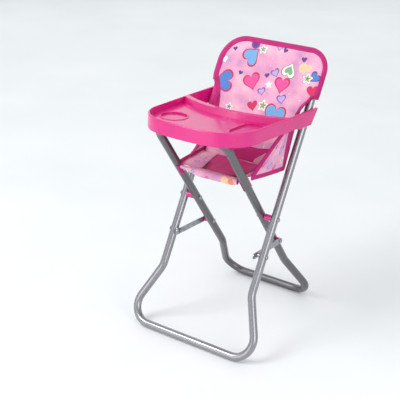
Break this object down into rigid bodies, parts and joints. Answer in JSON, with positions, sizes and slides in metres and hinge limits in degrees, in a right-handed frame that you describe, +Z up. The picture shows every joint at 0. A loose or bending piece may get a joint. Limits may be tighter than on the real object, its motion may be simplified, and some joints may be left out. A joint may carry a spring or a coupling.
{
  "type": "folding doll high chair",
  "caption": "Folding toy high chair for dolls: crossed bent-tube frame with locking braces, moulded tray with cup ring, and a cloth seat and backrest.",
  "frame": {"origin": "on the floor, under the middle of the object", "axes": "+Z is up, -Y is the way the child faces, +X is the child's left hand side seen from the front"},
  "size_m": [0.2964, 0.3374, 0.5486],
  "materials": {
    "silver_tube": "satin silver lacquer on steel tube",
    "grey_tube": "satin dark grey lacquer on steel tube",
    "zinc_steel": "zinc-plated steel",
    "pink_plastic": "gloss injection-moulded pink plastic",
    "deep_pink_plastic": "gloss magenta plastic",
    "plug_plastic": "plain dark plastic",
    "printed_cloth": "light pink woven polyester with a print of hearts, flowers and stars",
    "lining_cloth": "plain magenta woven polyester",
    "binding_cloth": "hot pink folded binding tape with a stitch line"
  },
  "bodies": {
    "front_frame": {"front_leg_loop": "silver_tube", "backrest_arch": "silver_tube", "arch_joint_plugs": "plug_plastic", "scissor_rivets": "zinc_steel", "scissor_spacers": "deep_pink_plastic", "hook_pins": "zinc_steel", "hook_collars": "zinc_steel", "tray_pivot_pins": "zinc_steel", "back_front_panel": "printed_cloth", "back_rear_panel": "lining_cloth", "back_binding": "binding_cloth", "seat_panel": "lining_cloth", "seat_front_roll": "printed_cloth", "wing_right": "printed_cloth", "wing_left": "printed_cloth", "wing_binding_right": "binding_cloth", "wing_binding_left": "binding_cloth"},
    "rear_frame": {"rear_leg_loop": "grey_tube", "tray_support_arch": "grey_tube", "support_joint_plugs": "plug_plastic", "brace_rivets": "zinc_steel", "brace_spacers": "deep_pink_plastic", "tab_rivets": "zinc_steel", "seat_tab_right": "binding_cloth", "seat_tab_left": "binding_cloth"},
    "left_brace": {"brace_left": "zinc_steel"},
    "right_brace": {"brace_right": "zinc_steel"},
    "tray": {"tray_shell": "pink_plastic"}
  },
  "joints": [
    {"name": "fold", "type": "hinge", "parent": "front_frame", "child": "rear_frame", "pos_m": [0, -0.0128, 0.2477], "axis": [1, 0, 0], "range_deg": [-50, 0]},
    {"name": "tray_tilt", "type": "hinge", "parent": "front_frame", "child": "tray", "pos_m": [0, 0.0931, 0.43], "axis": [1, 0, 0], "range_deg": [-65, 0]},
    {"name": "left_brace_swing", "type": "hinge", "parent": "rear_frame", "child": "left_brace", "pos_m": [0, 0.0358, 0.177], "axis": [1, 0, 0], "range_deg": [-37.5, 0]},
    {"name": "right_brace_swing", "type": "hinge", "parent": "rear_frame", "child": "right_brace", "pos_m": [0, 0.0358, 0.177], "axis": [1, 0, 0], "range_deg": [-37.5, 0]}
  ],
  "couplings": [
    {"joint": "tray_tilt", "follows": "fold", "ratio": 1.3},
    {"joint": "left_brace_swing", "follows": "fold", "ratio": 0.75},
    {"joint": "right_brace_swing", "follows": "fold", "ratio": 0.75}
  ]
}
